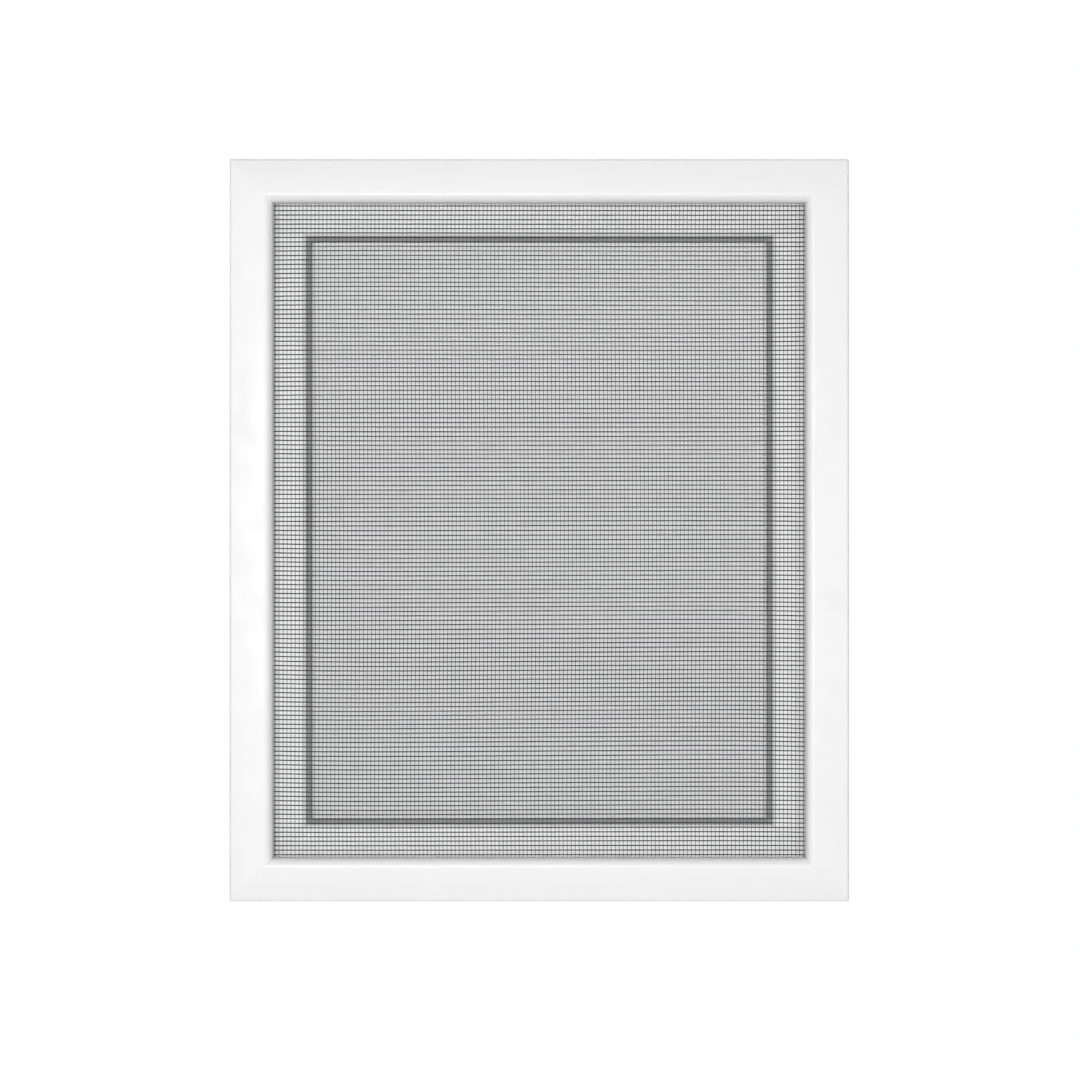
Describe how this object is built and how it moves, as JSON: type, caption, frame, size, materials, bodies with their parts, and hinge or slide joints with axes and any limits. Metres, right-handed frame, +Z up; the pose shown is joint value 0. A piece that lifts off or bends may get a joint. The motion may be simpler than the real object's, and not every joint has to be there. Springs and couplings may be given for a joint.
{
  "type": "window insect screen",
  "caption": "Upright rectangular insect screen: white mitred clip-on frame with rounded inner bevel, charcoal woven mesh, and a white base frame with a grey seal behind.",
  "frame": {"origin": "middle of the four fixing holes, on the flat rear face that lies against the window", "axes": "+Z up the screen, +X along its width, +Y out of the rear face towards the window, so the face looks towards -Y"},
  "size_m": [0.217, 0.0139, 0.26],
  "materials": {
    "frame_white": "smooth satin white coating on an aluminium extrusion",
    "base_white": "smooth satin white coating on an aluminium extrusion",
    "mesh_charcoal": "woven glass-fibre thread with a charcoal plastic coat, slightly glossy",
    "spline_black": "matte black soft cord",
    "seal_grey": "matte mid-grey soft strip",
    "key_plastic": "moulded, matte",
    "plate_steel": "stamped, zinc-bright"
  },
  "bodies": {
    "root": {"frame_rail_bottom": "frame_white", "frame_rail_left": "frame_white", "frame_rail_top": "frame_white", "frame_rail_right": "frame_white", "base_rail_bottom": "base_white", "base_rail_left": "base_white", "base_rail_top": "base_white", "base_rail_right": "base_white", "insect_mesh": "mesh_charcoal", "mesh_spline_bottom": "spline_black", "mesh_spline_left": "spline_black", "mesh_spline_top": "spline_black", "mesh_spline_right": "spline_black", "seal_strip_bottom": "seal_grey", "seal_strip_left": "seal_grey", "seal_strip_top": "seal_grey", "seal_strip_right": "seal_grey", "corner_key_bottom_left": "key_plastic", "corner_key_top_left": "key_plastic", "corner_key_top_right": "key_plastic", "corner_key_bottom_right": "key_plastic", "corner_plate_bottom_left": "plate_steel", "corner_plate_top_left": "plate_steel", "corner_plate_top_right": "plate_steel", "corner_plate_bottom_right": "plate_steel"}
  },
  "joints": []
}
